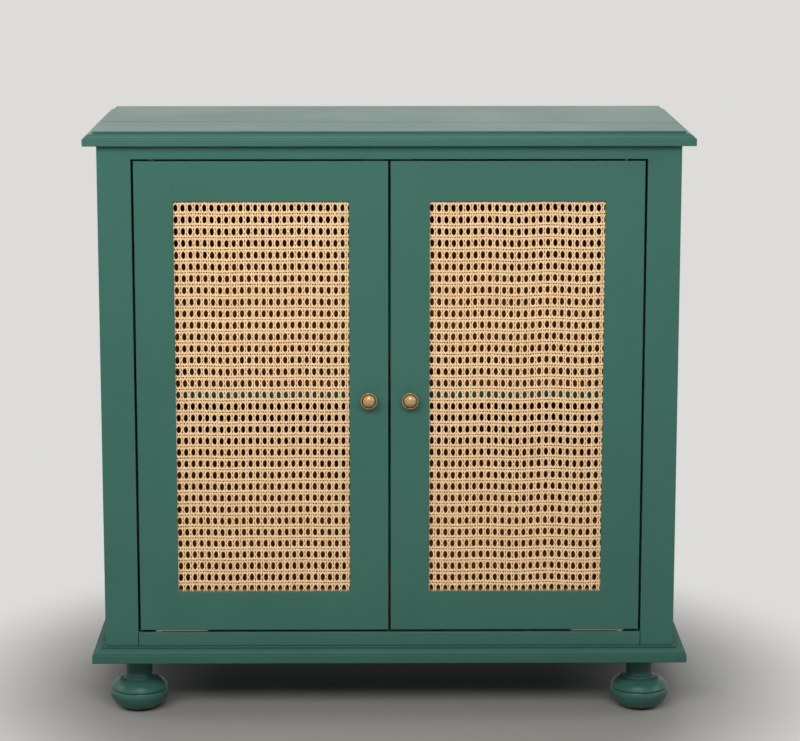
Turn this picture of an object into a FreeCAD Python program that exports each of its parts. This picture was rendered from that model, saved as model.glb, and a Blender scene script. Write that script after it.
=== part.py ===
import FreeCAD, Part
import math
import os

from FreeCAD import Vector

# Record cabinet with two cane doors. Millimetres: X to the right, Y to the back, Z up.
# The origin is on the floor, under the middle of the cabinet's whole box.

# Driving dimensions
board_width = 900.0
board_depth = 400.0
overall_height = 896.0
overhang = 19.0  # top and base boards past the carcass, at the front and both ends
top_thickness = 21.0
base_thickness = 22.5
foot_height = 89.0  # with its felt glide

# Carcass
frame_thickness = 20.0  # face frame and doors
side_thickness = 18.0
stile_width = 50.0
rail_height = 21.0
shelf_thickness = 18.0
shelf_middle = 493.0
shelf_setback = 44.0  # behind the face of the doors
shelf_play = 1.0
back_thickness = 6.0
back_rebate = 10.0
back_play = 0.5
stretcher_width = 80.0
stretcher_thickness = 18.0
stretcher_lap = 10.0
frame_tenon = (8.0, 13.0, 25.0)  # thick, high, long
rail_seam = (0.8, 1.4)  # half width and depth of the open joint at the bottom rail's ends

# Moulding of the boards: lower arris, face, rounded ledge, quirk, ovolo, step
mould_width = 14.3
mould_ledge = 2.8
mould_round = 1.5
mould_quirk = 0.9
mould_arris = 1.3
top_mould = (4.9, 3.7)  # rise of the ovolo, height of the step above it
base_mould = (5.6, 3.0)

# Doors
door_gap_side = 3.5
door_gap_top = 2.8
door_gap_bottom = 3.8
door_stile = 58.0
door_rail = 60.0
door_arris = 1.0
cane_lip = 4.0  # wood in front of the cane
cane_thickness = 1.5
cane_rebate = 8.0
cane_play = 0.5
cane_cells = (12, 17)  # openings across and up; each stands for four holes of the weave
cane_opening = (10.5, 17.0)  # width and height of one
bead_thickness = 10.0
door_tenon = (8.0, 40.0, 30.0)

# Feet
foot_inset = 65.0  # axis to the board's front and end
glide_thickness = 3.0
glide_radius = 18.0
bolt_radius = 4.0
bolt_in_foot = 36.0
bolt_in_base = 19.0

# Knobs
knob_reach = 24.0
knob_height = 494.0
knob_radius = 12.5

# Pivot hinges
pivot_inset = 27.5  # pin axis to the door's edge
leaf_length = 86.0
leaf_width = 17.0
leaf_thickness = 2.0
pin_radius = 3.0
pin_length = 12.0
pin_clearance = 0.05
bush_radius = 5.0
bush_length = 10.0
washer_radius = 7.5
washer_play = 0.05
leaf_screws = (25.0, 64.0)  # from the pin's axis

# Magnetic catch
catch_half_width = 46.0
catch_depth = 14.0
catch_height = 18.0
catch_rounding = 2.0
catch_gap = 0.2  # magnet to strike plate
catch_screw = (3.6, 1.7, 25.0)  # head radius, radius, length, as for every screw
catch_screw_x = 40.0
magnet_span = (10.0, 34.0)
magnet_height = 11.0
magnet_proud = 2.0
magnet_backing = 3.0
strike_size = (28.0, 1.2, 12.0)
strike_inset = 6.0
strike_screw = (2.6, 1.4, 12.0)

# Fastener play
bore_play = 0.1
bore_end = 1.0  # past the end of a bolt, pin or screw

# Derived places
knob_proud = knob_reach - overhang
front_y = (knob_proud - board_depth) / 2
back_y = front_y + board_depth
face_y = front_y + overhang
inner_y = face_y + frame_thickness
back_panel_y = back_y - back_thickness
board_half = board_width / 2
body_half = board_half - overhang
inner_half = body_half - side_thickness
opening_half = body_half - stile_width
base_top = foot_height + base_thickness
top_under = overall_height - top_thickness
opening_bottom = base_top + rail_height
opening_top = top_under - rail_height
door_bottom = opening_bottom + door_gap_bottom
door_top = opening_top - door_gap_top
door_outer = opening_half - door_gap_side
door_inner = door_gap_side / 2
cane_half_lip = (door_outer - door_stile, door_inner + door_stile)
cane_bottom = door_bottom + door_rail
cane_top = door_top - door_rail
cane_y = face_y + cane_lip
mid_y = face_y + frame_thickness / 2
pivot_x = door_outer - pivot_inset
knob_x = door_inner + door_stile / 2
stretcher_under = top_under - stretcher_thickness
shelf_under = shelf_middle - shelf_thickness / 2
diagonal = math.sqrt(0.5)

parts = {}


def box(x, y, z):
    """Box between three pairs of limits, each in either order."""
    low = Vector(min(x), min(y), min(z))
    high = Vector(max(x), max(y), max(z))
    size = high - low
    return Part.makeBox(size.x, size.y, size.z, low)


def rod(radius, start, end):
    """Round rod between two points."""
    along = end - start
    return Part.makeCylinder(radius, along.Length, start, along)


def fused(shapes):
    """One clean solid made of several."""
    return shapes[0].multiFuse(shapes[1:]).removeSplitter()


def mirrored(shape):
    """The same piece on the other side of the cabinet."""
    return shape.mirror(Vector(0, 0, 0), Vector(1, 0, 0))


def line(start, end):
    return Part.LineSegment(start, end).toShape()


def arc(start, middle, end):
    return Part.Arc(start, middle, end).toShape()


def filled(edges):
    """Flat face inside a loop of edges."""
    return Part.Face(Part.Wire(Part.__sortEdges__(edges)))


def revolved(edges, centre, axis):
    return filled(edges).revolve(centre, axis, 360)


def screw(head, direction, head_radius, radius, length, play=0.0):
    """Countersunk screw with its flat head at head, pointing along direction."""
    cone_depth = head_radius - radius
    neck = head + direction * cone_depth
    cone = Part.makeCone(head_radius + play, radius + play, cone_depth, head, direction)
    shank = rod(radius + play, neck, head + direction * (length + play))
    return cone.fuse(shank).removeSplitter()


def screws(heads, direction, head_radius, radius, length):
    """A group of equal screws, and the holes that they need."""
    bodies = [screw(at, direction, head_radius, radius, length) for at in heads]
    holes = [screw(at, direction, head_radius, radius, length, bore_play) for at in heads]
    return Part.makeCompound(bodies), holes


def bored(shape, holes):
    """The shape with every hole that reaches it."""
    for hole in holes:
        if shape.BoundBox.intersect(hole.BoundBox):
            shape = shape.cut(hole)
    return shape


# Boards


def moulded_edge(thickness, mould, place):
    """Edges of one moulded end, from the underside to the top face; place maps depth and height."""
    rise, step = mould
    shoulder = thickness - step
    ovolo_low = shoulder - rise
    face_top = ovolo_low - mould_quirk
    run = mould_width - mould_ledge
    under = place(mould_arris, 0)
    low = place(0, mould_arris)
    arris_middle = place(mould_arris * (1 - diagonal), mould_arris * (1 - diagonal))
    face = place(0, face_top - mould_round)
    round_inset = mould_round * (1 - diagonal)
    round_middle = place(round_inset, face_top - round_inset)
    ledge = place(mould_round, face_top)
    ledge_back = place(mould_ledge, face_top)
    quirk = place(mould_ledge, ovolo_low)
    ovolo_middle = place(mould_ledge + run * (1 - diagonal), ovolo_low + rise * diagonal)
    ovolo = place(mould_width, shoulder)
    top = place(mould_width, thickness)
    edges = [
        arc(under, arris_middle, low),
        line(low, face),
        arc(face, round_middle, ledge),
        line(ledge, ledge_back),
        line(ledge_back, quirk),
        arc(quirk, ovolo_middle, ovolo),
        line(ovolo, top),
    ]
    return edges, under, top


def moulded_board(thickness, mould, bottom):
    """Board moulded along the front and both ends, with mitred corners and a square back."""
    left, left_under, left_top = moulded_edge(
        thickness, mould, lambda u, v: Vector(-board_half + u, front_y, bottom + v)
    )
    right, right_under, right_top = moulded_edge(
        thickness, mould, lambda u, v: Vector(board_half - u, front_y, bottom + v)
    )
    across = left + right + [line(left_top, right_top), line(left_under, right_under)]
    lengthwise = filled(across).extrude(Vector(0, board_depth, 0))
    front, front_under, front_top = moulded_edge(
        thickness, mould, lambda u, v: Vector(-board_half, front_y + u, bottom + v)
    )
    back_under = Vector(-board_half, back_y, bottom)
    back_top = Vector(-board_half, back_y, bottom + thickness)
    along = front + [
        line(front_top, back_top),
        line(back_top, back_under),
        line(back_under, front_under),
    ]
    crosswise = filled(along).extrude(Vector(board_width, 0, 0))
    return lengthwise.common(crosswise)


# Carcass


def rounded_front(blank, radius, keep):
    """Rounds the front arrises of a blank that keep picks by their middle point."""
    edges = [
        edge
        for edge in blank.Edges
        if abs(edge.BoundBox.YMin - face_y) < 0.01
        and abs(edge.BoundBox.YMax - face_y) < 0.01
        and keep(edge.CenterOfMass)
    ]
    return blank.makeFillet(radius, edges)


def seam(x):
    """Open V joint on the face, where the bottom rail meets a stile at x."""
    wide, deep = rail_seam
    corners = [
        Vector(x - wide, face_y, base_top),
        Vector(x, face_y - deep, base_top),
        Vector(x + wide, face_y, base_top),
        Vector(x, face_y + deep, base_top),
    ]
    outline = Part.makePolygon(corners + corners[:1])
    return Part.Face(outline).extrude(Vector(0, 0, rail_height))


def face_frame():
    """Two full-height stiles with the rails tenoned between them."""
    outer = box((-body_half, body_half), (face_y, inner_y), (base_top, top_under))
    hole = box((-opening_half, opening_half), (face_y, inner_y), (opening_bottom, opening_top))
    blank = rounded_front(
        outer.cut(hole), door_arris, lambda at: base_top + 1 < at.z < top_under - 1
    )
    blank = blank.cut(seam(-opening_half)).cut(seam(opening_half))
    thick, high, length = frame_tenon
    tenons = []
    for middle in (base_top + rail_height / 2, top_under - rail_height / 2):
        tenons.append(
            box(
                (-opening_half - length, -opening_half),
                (mid_y - thick / 2, mid_y + thick / 2),
                (middle - high / 2, middle + high / 2),
            )
        )
    left_zone = box((-body_half, -opening_half), (face_y, inner_y), (base_top, top_under))
    stile = blank.common(left_zone).cut(tenons[0]).cut(tenons[1])
    parts["left_face_stile"] = stile
    parts["right_face_stile"] = mirrored(stile)
    between = (-opening_half, opening_half)
    zones = ((base_top, opening_bottom), (opening_top, top_under))
    for name, zone, tenon in zip(("bottom_face_rail", "top_face_rail"), zones, tenons):
        rail = blank.common(box(between, (face_y, inner_y), zone))
        parts[name] = fused([rail, tenon, mirrored(tenon)])


def stretchers():
    """Flat rails under the top board, lapped into the sides."""
    reach = inner_half + stretcher_lap
    front = (inner_y, inner_y + stretcher_width)
    rear = (back_panel_y - stretcher_width, back_panel_y)
    for name, depth in (("front_stretcher", front), ("rear_stretcher", rear)):
        parts[name] = box((-reach, reach), depth, (stretcher_under, top_under))


def side_panels():
    """Sides with a rebate for the back panel and notches for the stretchers."""
    panel = box((-body_half, -inner_half), (inner_y, back_y), (base_top, top_under))
    rebate = box(
        (-inner_half - back_rebate, -inner_half), (back_panel_y, back_y), (base_top, top_under)
    )
    panel = panel.cut(rebate).cut(parts["front_stretcher"]).cut(parts["rear_stretcher"])
    parts["left_side_panel"] = panel
    parts["right_side_panel"] = mirrored(panel)


def panels():
    """Floor of the lower compartment, and the back."""
    floor = box((-inner_half, inner_half), (inner_y, back_panel_y), (base_top, opening_bottom))
    parts["floor_panel"] = floor
    reach = inner_half + back_rebate - back_play
    parts["back_panel"] = box((-reach, reach), (back_panel_y, back_y), (base_top, top_under))


# Shelf pins
peg_length = 10.0
peg_radius = 2.5
spoon = (10.0, 9.0, 2.0)  # reach, width, thickness
shelf_pin_y = (-90.0, 150.0)


def shelf():
    """Loose shelf on four pins with flat spoons."""
    width = inner_half - shelf_play
    depth = (face_y + shelf_setback, back_panel_y - shelf_play)
    blank = box((-width, width), depth, (shelf_under, shelf_under + shelf_thickness))
    front = [edge for edge in blank.Edges if edge.BoundBox.YMax < depth[0] + 0.01]
    long_edges = [edge for edge in front if edge.Length > width]
    parts["record_shelf"] = blank.makeFillet(door_arris, long_edges)
    pins = []
    for y in shelf_pin_y:
        centre = Vector(-inner_half, y, shelf_under - spoon[1] / 2)
        peg = rod(peg_radius, centre - Vector(peg_length, 0, 0), centre)
        rest = box(
            (-inner_half, -inner_half + spoon[0]),
            (y - spoon[1] / 2, y + spoon[1] / 2),
            (shelf_under - spoon[2], shelf_under),
        )
        heel = box(
            (-inner_half, -inner_half + spoon[2]),
            (y - spoon[1] / 2, y + spoon[1] / 2),
            (shelf_under - spoon[1], shelf_under),
        )
        pins += [fused([peg, rest, heel])]
    pins += [mirrored(pin) for pin in pins]
    parts["shelf_pins"] = Part.makeCompound(pins)
    holes = []
    for y in shelf_pin_y:
        mouth = Vector(-inner_half, y, shelf_under - spoon[1] / 2)
        end = mouth - Vector(peg_length + bore_end, 0, 0)
        holes.append(rod(peg_radius + bore_play, end, mouth))
    return holes + [mirrored(hole) for hole in holes]


# Feet

# Bun foot: radius and height of each turn, from the floor glide up
foot_seat = (22.0, glide_thickness)
bun_low = (38.4, 12.2)
bun_wide = (44.6, 25.5)
bun_shoulder = (43.9, 30.1)
groove = (41.9, 33.0)
dome_lip = (43.3, 33.9)
dome_low = (43.8, 35.4)
dome_high = (36.4, 44.4)
dome_rim = (24.5, 48.9)
bead_outer = (23.5, 49.7)
bead_crown = (22.9, 52.4)
bead_inner = (21.1, 53.5)
neck_cove = (19.9, 56.5)
neck_waist = (20.3, 68.0)
neck_top = (25.3, foot_height)


def turned_foot(x, y):
    """One turned foot about the vertical line through x, y."""

    def at(turn):
        return Vector(x + turn[0], y, turn[1])

    seat_centre = Vector(x, y, glide_thickness)
    top_centre = Vector(x, y, foot_height)
    outline = [
        line(seat_centre, at(foot_seat)),
        arc(at(foot_seat), at(bun_low), at(bun_wide)),
        arc(at(bun_wide), at(bun_shoulder), at(groove)),
        arc(at(groove), at(dome_lip), at(dome_low)),
        arc(at(dome_low), at(dome_high), at(dome_rim)),
        line(at(dome_rim), at(bead_outer)),
        arc(at(bead_outer), at(bead_crown), at(bead_inner)),
        line(at(bead_inner), at(neck_cove)),
        arc(at(neck_cove), at(neck_waist), at(neck_top)),
        line(at(neck_top), top_centre),
        line(top_centre, seat_centre),
    ]
    return revolved(outline, seat_centre, Vector(0, 0, 1))


def feet():
    """Four feet with their hanger bolts and felt glides."""
    foot_x = board_half - foot_inset
    bolts = []
    holes = []
    glides = []
    for depth, y in (("front", front_y + foot_inset), ("rear", back_y - foot_inset)):
        for side, x in (("left", -foot_x), ("right", foot_x)):
            low = Vector(x, y, foot_height - bolt_in_foot)
            high = Vector(x, y, foot_height + bolt_in_base)
            spare = Vector(0, 0, bore_end)
            hole = rod(bolt_radius + bore_play, low - spare, high + spare)
            parts[f"{depth}_{side}_foot"] = turned_foot(x, y).cut(hole)
            bolts.append(rod(bolt_radius, low, high))
            holes.append(hole)
            floor = Vector(x, y, 0)
            glides.append(rod(glide_radius, floor, floor + Vector(0, 0, glide_thickness)))
    parts["foot_bolts"] = Part.makeCompound(bolts)
    parts["foot_glides"] = Part.makeCompound(glides)
    return holes


# Pivot hinges


def leaf(low, high):
    """Round-ended leaf of the left door's hinge, between two heights."""
    radius = leaf_width / 2
    start = Vector(-pivot_x, mid_y, low)
    end = start + Vector(leaf_length - leaf_width, 0, 0)
    up = Vector(0, 0, high - low)
    bar = box((start.x, end.x), (mid_y - radius, mid_y + radius), (low, high))
    return fused([bar, rod(radius, start, start + up), rod(radius, end, end + up)])


def leaf_screw_heads(z):
    return [Vector(-pivot_x + along, mid_y, z) for along in leaf_screws]


# Heights of the leaves, from the floor up
lower_plate = (opening_bottom - leaf_thickness, opening_bottom)
lower_leaf = (door_bottom - leaf_thickness, door_bottom)
upper_leaf = (door_top - leaf_thickness, door_top)
upper_plate = (opening_top, opening_top + leaf_thickness)
leaf_screw = (3.6, 1.7, 13.0)


def pivot_plates():
    """Plates let into the rails, with the pins that the doors turn on."""
    base = Vector(-pivot_x, mid_y, lower_plate[0])
    tip = Vector(-pivot_x, mid_y, lower_plate[1] + pin_length)
    lower = fused([leaf(*lower_plate), rod(pin_radius, base, tip)])
    top = Vector(-pivot_x, mid_y, upper_plate[1])
    point = Vector(-pivot_x, mid_y, upper_plate[0] - pin_length)
    upper = fused([leaf(*upper_plate), rod(pin_radius, point, top)])
    low_screws, low_holes = screws(
        leaf_screw_heads(lower_plate[1]), Vector(0, 0, -1), *leaf_screw
    )
    high_screws, high_holes = screws(
        leaf_screw_heads(upper_plate[0]), Vector(0, 0, 1), *leaf_screw
    )
    lower = bored(lower, low_holes)
    upper = bored(upper, high_holes)
    parts["left_lower_pivot"] = lower
    parts["right_lower_pivot"] = mirrored(lower)
    parts["left_upper_pivot"] = upper
    parts["right_upper_pivot"] = mirrored(upper)
    group = low_screws.Solids + high_screws.Solids
    parts["pivot_screws"] = Part.makeCompound(group + [mirrored(one) for one in group])
    ring_low = Vector(-pivot_x, mid_y, lower_plate[1])
    ring_high = Vector(-pivot_x, mid_y, lower_leaf[0] - washer_play)
    washer = rod(washer_radius, ring_low, ring_high).cut(
        rod(pin_radius + pin_clearance, ring_low, ring_high)
    )
    parts["pivot_washers"] = Part.makeCompound([washer, mirrored(washer)])
    for name, plate, holes in (
        ("bottom_face_rail", lower_plate, low_holes),
        ("top_face_rail", upper_plate, high_holes),
    ):
        pocket = leaf(*plate)
        rail = parts[name].cut(pocket).cut(mirrored(pocket))
        parts[name] = bored(rail, holes + [mirrored(hole) for hole in holes])


# Catch

def magnetic_catch():
    """Double catch under the front stretcher: one magnet for each door."""
    strike_back = inner_y + strike_size[1]
    magnet_front = strike_back + catch_gap
    front = magnet_front + magnet_proud
    bottom = stretcher_under - catch_height
    middle = bottom + catch_height / 2
    blank = box(
        (-catch_half_width, catch_half_width),
        (front, front + catch_depth),
        (bottom, stretcher_under),
    )
    upright = [edge for edge in blank.Edges if abs(edge.BoundBox.ZLength - catch_height) < 0.01]
    housing = blank.makeFillet(catch_rounding, upright)
    magnet = box(
        (-magnet_span[1], -magnet_span[0]),
        (magnet_front, front + catch_depth - magnet_backing),
        (middle - magnet_height / 2, middle + magnet_height / 2),
    )
    magnets = [magnet, mirrored(magnet)]
    for one in magnets:
        housing = housing.cut(one)
    heads = [
        Vector(side * catch_screw_x, front + catch_depth / 2, bottom) for side in (-1, 1)
    ]
    group, holes = screws(heads, Vector(0, 0, 1), *catch_screw)
    parts["catch_housing"] = bored(housing, holes)
    parts["catch_magnets"] = Part.makeCompound(magnets)
    parts["catch_screws"] = group
    return holes, middle


# Fasteners of the carcass

long_screw = (4.2, 2.0, 38.0)
top_screw = (4.2, 2.0, 32.0)
back_screw = (3.2, 1.5, 16.0)
board_screw_x = (-330.0, -110.0, 110.0, 330.0)
back_screw_x = (-200.0, 0.0, 200.0)
back_screw_z = (170.0, 390.0, 600.0, 815.0)


def board_screws():
    """Screws of the top board, the base board and the back panel."""
    stretcher_mid = (inner_y + stretcher_width / 2, back_panel_y - stretcher_width / 2)
    heads = [Vector(x, y, stretcher_under) for x in board_screw_x for y in stretcher_mid]
    parts["top_board_screws"], holes = screws(heads, Vector(0, 0, 1), *top_screw)
    heads = [Vector(x, y, foot_height) for x in board_screw_x for y in stretcher_mid]
    parts["base_board_screws"], more = screws(heads, Vector(0, 0, 1), *long_screw)
    side_x = inner_half + back_rebate / 2
    heads = [Vector(side * side_x, back_y, z) for side in (-1, 1) for z in back_screw_z]
    rows = (base_top + rail_height / 2, top_under - stretcher_thickness / 2)
    heads += [Vector(x, back_y, z) for x in back_screw_x for z in rows]
    parts["back_panel_screws"], back_holes = screws(heads, Vector(0, -1, 0), *back_screw)
    return holes + more + back_holes


# Doors


def door_frame():
    """Stiles and rails of the left door, cut from one blank so that their faces run through."""
    across = (-door_outer, -door_inner)
    opening = (-cane_half_lip[0], -cane_half_lip[1])
    deep = (face_y, inner_y)
    blank = box(across, deep, (door_bottom, door_top))
    blank = blank.cut(box(opening, deep, (cane_bottom, cane_top)))
    rebate = box(
        (opening[0] - cane_rebate, opening[1] + cane_rebate),
        (cane_y, inner_y),
        (cane_bottom - cane_rebate, cane_top + cane_rebate),
    )
    blank = rounded_front(blank, door_arris, lambda at: True).cut(rebate)
    thick, high, length = door_tenon
    edge_gap = (door_rail - cane_rebate - high) / 2
    tenons = {}
    for name, low in (
        ("bottom_rail", door_bottom + edge_gap),
        ("top_rail", door_top - edge_gap - high),
    ):
        tenons[name] = [
            box(side, (mid_y - thick / 2, mid_y + thick / 2), (low, low + high))
            for side in (
                (opening[0] - length, opening[0]),
                (opening[1], opening[1] + length),
            )
        ]
    mortises = tenons["bottom_rail"] + tenons["top_rail"]
    made = {}
    for name, zone in (
        ("hinge_stile", (across[0], opening[0])),
        ("meeting_stile", (opening[1], across[1])),
    ):
        stile = blank.common(box(zone, deep, (door_bottom, door_top)))
        for mortise in mortises:
            stile = stile.cut(mortise)
        made[name] = stile
    for name, zone in (
        ("bottom_rail", (door_bottom, cane_bottom)),
        ("top_rail", (cane_top, door_top)),
    ):
        rail = blank.common(box(opening, deep, zone))
        made[name] = fused([rail] + tenons[name])
    return made


def rectangle(low_x, high_x, low_z, high_z):
    """Upright outline on the front of the cane."""
    corners = [(low_x, low_z), (high_x, low_z), (high_x, high_z), (low_x, high_z)]
    loop = [Vector(x, cane_y, z) for x, z in corners]
    return Part.makePolygon(loop + loop[:1])


def cane_panel():
    """Sheet of cane in the rebate of the left door, with a plain grid of openings."""
    margin = cane_rebate - cane_play
    left, right = -cane_half_lip[0], -cane_half_lip[1]
    across, up = cane_cells
    pitch_x = (right - left) / across
    pitch_z = (cane_top - cane_bottom) / up
    half_x, half_z = cane_opening[0] / 2, cane_opening[1] / 2
    loops = [rectangle(left - margin, right + margin, cane_bottom - margin, cane_top + margin)]
    for column in range(across):
        for row in range(up):
            x = left + (column + 0.5) * pitch_x
            z = cane_bottom + (row + 0.5) * pitch_z
            loops.append(rectangle(x - half_x, x + half_x, z - half_z, z + half_z))
    sheet = Part.makeFace(loops, "Part::FaceMakerBullseye")
    return sheet.extrude(Vector(0, cane_thickness, 0))


def cane_beads():
    """Four mitred beads that hold the cane from behind."""
    deep = (cane_y + cane_thickness, cane_y + cane_thickness + bead_thickness)
    low = Vector(-cane_half_lip[0] - cane_rebate, 0, cane_bottom - cane_rebate)
    high = Vector(-cane_half_lip[1] + cane_rebate, 0, cane_top + cane_rebate)
    corners = [(low.x, low.z), (high.x, low.z), (high.x, high.z), (low.x, high.z)]
    middle = ((low.x + high.x) / 2, (low.z + high.z) / 2)
    beads = []
    for start, end in zip(corners, corners[1:] + corners[:1]):
        inner = []
        for x, z in (end, start):
            inner.append(
                (
                    x + math.copysign(cane_rebate, middle[0] - x),
                    z + math.copysign(cane_rebate, middle[1] - z),
                )
            )
        loop = [Vector(x, deep[0], z) for x, z in [start, end] + inner]
        outline = Part.Wire(Part.makePolygon(loop + loop[:1]))
        beads.append(Part.Face(outline).extrude(Vector(0, deep[1] - deep[0], 0)))
    return Part.makeCompound(beads)


# Knob: radius and distance out from the door's face
knob_foot = (8.0, 0.0)
knob_foot_edge = (8.0, 1.8)
knob_neck = (5.4, 5.0)
knob_throat = (6.4, 9.5)
knob_under = (11.6, 14.0)
knob_side = (knob_radius, 15.6)
knob_ring = (12.1, 17.0)
knob_ring_crown = (11.45, 17.9)
knob_ring_inner = (10.7, 17.2)
knob_groove = (10.1, 16.4)
knob_dome = (9.4, 17.8)
knob_tip = (0.0, knob_reach)
knob_thread = 10.0
knob_screw_radius = 2.0
knob_screw_head = (4.2, 2.4)


def dome_middle():
    """Point half way up the knob's dome, on a sphere centred on its axis."""
    radius, low = knob_dome
    centre = (knob_reach**2 - radius**2 - low**2) / (2 * (knob_reach - low))
    angle = math.atan2(radius, low - centre) / 2
    sphere = knob_reach - centre
    return (sphere * math.sin(angle), centre + sphere * math.cos(angle))


def knob():
    """Turned knob with a ring round its dome, and the screw that holds it."""

    def at(turn):
        return Vector(-knob_x + turn[0], face_y - turn[1], knob_height)

    root = Vector(-knob_x, face_y, knob_height)
    outline = [
        line(root, at(knob_foot)),
        line(at(knob_foot), at(knob_foot_edge)),
        arc(at(knob_foot_edge), at(knob_neck), at(knob_throat)),
        line(at(knob_throat), at(knob_under)),
        arc(at(knob_under), at(knob_side), at(knob_ring)),
        arc(at(knob_ring), at(knob_ring_crown), at(knob_ring_inner)),
        line(at(knob_ring_inner), at(knob_groove)),
        line(at(knob_groove), at(knob_dome)),
        arc(at(knob_dome), at(dome_middle()), at(knob_tip)),
        line(at(knob_tip), root),
    ]
    turned = revolved(outline, root, Vector(0, 1, 0))
    inner = Vector(-knob_x, inner_y, knob_height)
    end = Vector(-knob_x, face_y - knob_thread, knob_height)
    head_radius, head_height = knob_screw_head
    head = rod(head_radius, inner, inner + Vector(0, head_height, 0))
    bolt = fused([head, rod(knob_screw_radius, inner, end)])
    hole = rod(knob_screw_radius + bore_play, inner, end - Vector(0, bore_end, 0))
    return turned.cut(hole), bolt, hole


def door_leaf(low, high, bush_from, bush_to):
    """Leaf with the bush that turns on the pin."""
    base = Vector(-pivot_x, mid_y, bush_from)
    end = Vector(-pivot_x, mid_y, bush_to)
    plate = fused([leaf(low, high), rod(bush_radius, base, end)])
    return plate.cut(rod(pin_radius + pin_clearance, base, end))


def strike(middle):
    """Steel plate that meets the magnet, on the back of the meeting stile."""
    wide, thick, high = strike_size
    outer = door_inner + strike_inset + wide
    plate = box(
        (-outer, -outer + wide),
        (inner_y, inner_y + thick),
        (middle - high / 2, middle + high / 2),
    )
    head = Vector(-outer + wide / 2, inner_y + thick, middle)
    group, holes = screws([head], Vector(0, -1, 0), *strike_screw)
    return bored(plate, holes), group, holes


def doors(catch_middle):
    """The left door piece by piece, and the right door as its mirror image."""
    made = door_frame()
    turned, bolt, knob_hole = knob()
    upper = door_leaf(*upper_leaf, upper_leaf[1], upper_leaf[0] - bush_length)
    lower = door_leaf(*lower_leaf, lower_leaf[0], lower_leaf[1] + bush_length)
    low_screws, low_holes = screws(
        leaf_screw_heads(lower_leaf[0]), Vector(0, 0, 1), *leaf_screw
    )
    high_screws, high_holes = screws(
        leaf_screw_heads(upper_leaf[1]), Vector(0, 0, -1), *leaf_screw
    )
    plate, plate_screw, strike_holes = strike(catch_middle)
    bush_holes = [
        rod(
            bush_radius + bore_play,
            Vector(-pivot_x, mid_y, door_bottom),
            Vector(-pivot_x, mid_y, door_bottom + bush_length + bore_play),
        ),
        rod(
            bush_radius + bore_play,
            Vector(-pivot_x, mid_y, door_top),
            Vector(-pivot_x, mid_y, door_top - leaf_thickness - bush_length - bore_play),
        ),
    ]
    holes = bush_holes + low_holes + high_holes + strike_holes + [knob_hole, leaf(*upper_leaf)]
    for name in list(made):
        made[name] = bored(made[name], holes)
    made["cane_panel"] = cane_panel()
    made["cane_beads"] = cane_beads()
    made["knob"] = turned
    made["knob_screw"] = bolt
    made["upper_leaf"] = bored(upper, high_holes)
    made["lower_leaf"] = bored(lower, low_holes)
    made["leaf_screws"] = Part.makeCompound(low_screws.Solids + high_screws.Solids)
    made["strike_plate"] = plate
    made["strike_screw"] = plate_screw
    for name, shape in made.items():
        parts[f"left_door_{name}"] = shape
        parts[f"right_door_{name}"] = mirrored(shape)


def carcass():
    """Everything that stays still."""
    parts["top_board"] = moulded_board(top_thickness, top_mould, top_under)
    parts["base_board"] = moulded_board(base_thickness, base_mould, foot_height)
    face_frame()
    stretchers()
    side_panels()
    panels()
    holes = shelf()
    holes += feet()
    pivot_plates()
    catch_holes, catch_middle = magnetic_catch()
    holes += catch_holes
    holes += board_screws()
    for name in (
        "top_board",
        "base_board",
        "left_side_panel",
        "right_side_panel",
        "floor_panel",
        "back_panel",
        "front_stretcher",
        "rear_stretcher",
    ):
        parts[name] = bored(parts[name], holes)
    return catch_middle


doors(carcass())
os.makedirs("parts", exist_ok=True)
for name, shape in parts.items():
    shape.exportStep(f"parts/{name}.step")
    print(name, len(shape.Solids), round(shape.Volume), shape.isValid())
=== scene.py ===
import math

import bpy
import numpy as np
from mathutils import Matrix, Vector


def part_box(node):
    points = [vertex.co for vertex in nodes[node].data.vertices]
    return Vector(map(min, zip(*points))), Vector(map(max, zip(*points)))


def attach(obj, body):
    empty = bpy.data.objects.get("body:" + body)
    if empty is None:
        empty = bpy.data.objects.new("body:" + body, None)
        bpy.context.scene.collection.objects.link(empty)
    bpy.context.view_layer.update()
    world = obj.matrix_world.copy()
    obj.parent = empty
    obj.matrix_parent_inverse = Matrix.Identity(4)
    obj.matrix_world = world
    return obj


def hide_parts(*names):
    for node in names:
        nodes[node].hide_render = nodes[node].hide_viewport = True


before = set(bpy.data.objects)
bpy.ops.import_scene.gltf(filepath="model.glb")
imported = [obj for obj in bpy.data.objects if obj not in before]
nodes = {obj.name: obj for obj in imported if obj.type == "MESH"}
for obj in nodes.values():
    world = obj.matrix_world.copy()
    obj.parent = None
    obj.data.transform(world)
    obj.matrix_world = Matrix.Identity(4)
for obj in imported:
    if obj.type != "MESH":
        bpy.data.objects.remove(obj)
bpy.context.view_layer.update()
print("frame loaded:", len(nodes), "nodes")


# Node helpers

def feed(tree, socket, value):
    # another node's output is linked, a plain value is set
    if isinstance(value, bpy.types.NodeSocket):
        tree.links.new(value, socket)
    else:
        socket.default_value = value


def addNode(tree, kind, inputs=None, **settings):
    made = tree.nodes.new(kind)
    for name, value in settings.items():
        setattr(made, name, value)
    for name, value in (inputs or {}).items():
        feed(tree, made.inputs[name], value)
    return made


def mathNode(tree, operation, first, second=0.0, clamp=False):
    made = addNode(tree, "ShaderNodeMath", {0: first, 1: second}, operation=operation, use_clamp=clamp)
    return made.outputs[0]


def plus(tree, first, second):
    return mathNode(tree, "ADD", first, second)


def times(tree, first, second):
    return mathNode(tree, "MULTIPLY", first, second)


def partsOf(tree, vector):
    return addNode(tree, "ShaderNodeSeparateXYZ", {0: vector}).outputs


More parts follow.
